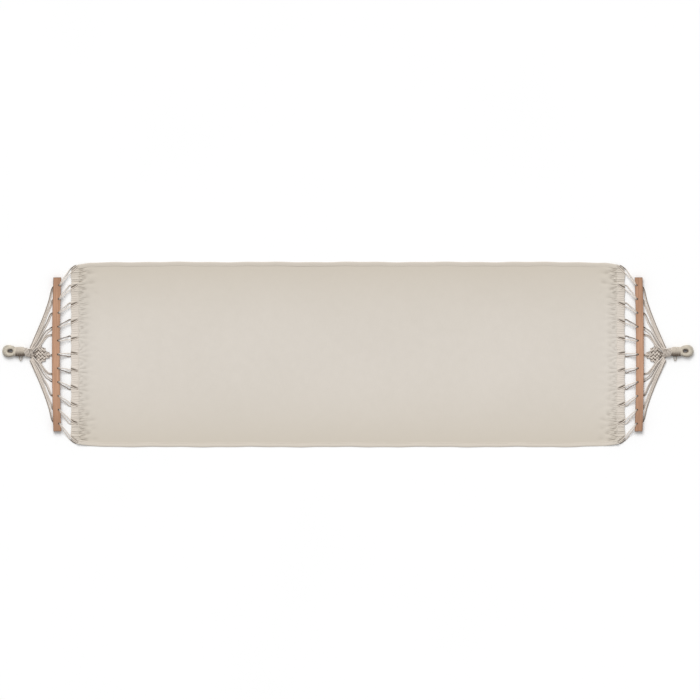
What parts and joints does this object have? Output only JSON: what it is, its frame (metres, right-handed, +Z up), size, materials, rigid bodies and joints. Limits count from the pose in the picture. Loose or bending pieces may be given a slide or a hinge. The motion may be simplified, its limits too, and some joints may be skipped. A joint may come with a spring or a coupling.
{
  "type": "rope hammock",
  "caption": "Flat canvas hammock bed held open by a wooden spreader bar at each end, with doubled cords fanning into a woven clew and a cord-wrapped hanging eye.",
  "frame": {"origin": "on the ground under the middle of the bed", "axes": "+X along the hammock towards the right eye, +Y across the bed, +Z up"},
  "size_m": [3, 0.804, 0.0262],
  "materials": {
    "canvas": "woven natural cotton canvas",
    "canvas_hem": "folded and stitched cotton canvas",
    "oiled_wood": "smooth oiled hardwood with eased edges",
    "cotton_cord": "twisted cotton cord",
    "serving_cord": "close turns of cotton cord",
    "whipping_cord": "tight turns of cotton cord"
  },
  "bodies": {
    "bed_left": {"bed_canvas_left": "canvas", "side_hem_front_left": "canvas_hem", "side_hem_back_left": "canvas_hem", "end_hem_left": "canvas_hem", "hem_loops_left": "cotton_cord"},
    "bed_right": {"bed_canvas_right": "canvas", "side_hem_front_right": "canvas_hem", "side_hem_back_right": "canvas_hem", "end_hem_right": "canvas_hem", "hem_loops_right": "cotton_cord"},
    "bar_left": {"spreader_bar_left": "oiled_wood", "bar_lacing_left": "cotton_cord"},
    "clew_left": {"clew_weave_left": "cotton_cord", "clew_cord_01_left": "cotton_cord", "clew_cord_02_left": "cotton_cord", "clew_cord_03_left": "cotton_cord", "clew_cord_04_left": "cotton_cord", "clew_cord_05_left": "cotton_cord", "clew_cord_06_left": "cotton_cord", "clew_cord_07_left": "cotton_cord", "clew_cord_08_left": "cotton_cord", "clew_cord_09_left": "cotton_cord", "clew_cord_10_left": "cotton_cord", "clew_cord_11_left": "cotton_cord"},
    "collar_left": {"collar_left": "serving_cord"},
    "eye_left": {"neck_whipping_left": "whipping_cord", "eye_core_left": "serving_cord", "eye_serving_left": "serving_cord", "whipping_tail_left": "whipping_cord"},
    "bar_right": {"spreader_bar_right": "oiled_wood", "bar_lacing_right": "cotton_cord"},
    "clew_right": {"clew_weave_right": "cotton_cord", "clew_cord_01_right": "cotton_cord", "clew_cord_02_right": "cotton_cord", "clew_cord_03_right": "cotton_cord", "clew_cord_04_right": "cotton_cord", "clew_cord_05_right": "cotton_cord", "clew_cord_06_right": "cotton_cord", "clew_cord_07_right": "cotton_cord", "clew_cord_08_right": "cotton_cord", "clew_cord_09_right": "cotton_cord", "clew_cord_10_right": "cotton_cord", "clew_cord_11_right": "cotton_cord"},
    "collar_right": {"collar_right": "serving_cord"},
    "eye_right": {"neck_whipping_right": "whipping_cord", "eye_core_right": "serving_cord", "eye_serving_right": "serving_cord", "whipping_tail_right": "whipping_cord"}
  },
  "joints": [
    {"name": "bed_fold", "type": "hinge", "parent": "bed_left", "child": "bed_right", "pos_m": [0, 0, 0.0037], "axis": [0, -1, 0], "range_deg": [0, 135]},
    {"name": "bar_swing_left", "type": "hinge", "parent": "bed_left", "child": "bar_left", "pos_m": [-1.212, 0, 0.0063], "axis": [0, 1, 0], "range_deg": [-60, 60]},
    {"name": "clew_swing_left", "type": "hinge", "parent": "bar_left", "child": "clew_left", "pos_m": [-1.286, 0, 0.0023], "axis": [0, 1, 0], "range_deg": [-90, 70]},
    {"name": "neck_swing_left", "type": "hinge", "parent": "clew_left", "child": "collar_left", "pos_m": [-1.397, 0.009, 0.0123], "axis": [0, 1, 0], "range_deg": [-60, 60]},
    {"name": "eye_sway_left", "type": "hinge", "parent": "collar_left", "child": "eye_left", "pos_m": [-1.397, 0.009, 0.0123], "axis": [0, 0, 1], "range_deg": [-30, 30]},
    {"name": "bar_swing_right", "type": "hinge", "parent": "bed_right", "child": "bar_right", "pos_m": [1.212, 0, 0.0063], "axis": [0, -1, 0], "range_deg": [-60, 60]},
    {"name": "clew_swing_right", "type": "hinge", "parent": "bar_right", "child": "clew_right", "pos_m": [1.286, 0, 0.0023], "axis": [0, -1, 0], "range_deg": [-90, 70]},
    {"name": "neck_swing_right", "type": "hinge", "parent": "clew_right", "child": "collar_right", "pos_m": [1.397, 0.009, 0.0123], "axis": [0, -1, 0], "range_deg": [-60, 60]},
    {"name": "eye_sway_right", "type": "hinge", "parent": "collar_right", "child": "eye_right", "pos_m": [1.397, 0.009, 0.0123], "axis": [0, 0, 1], "range_deg": [-30, 30]}
  ]
}
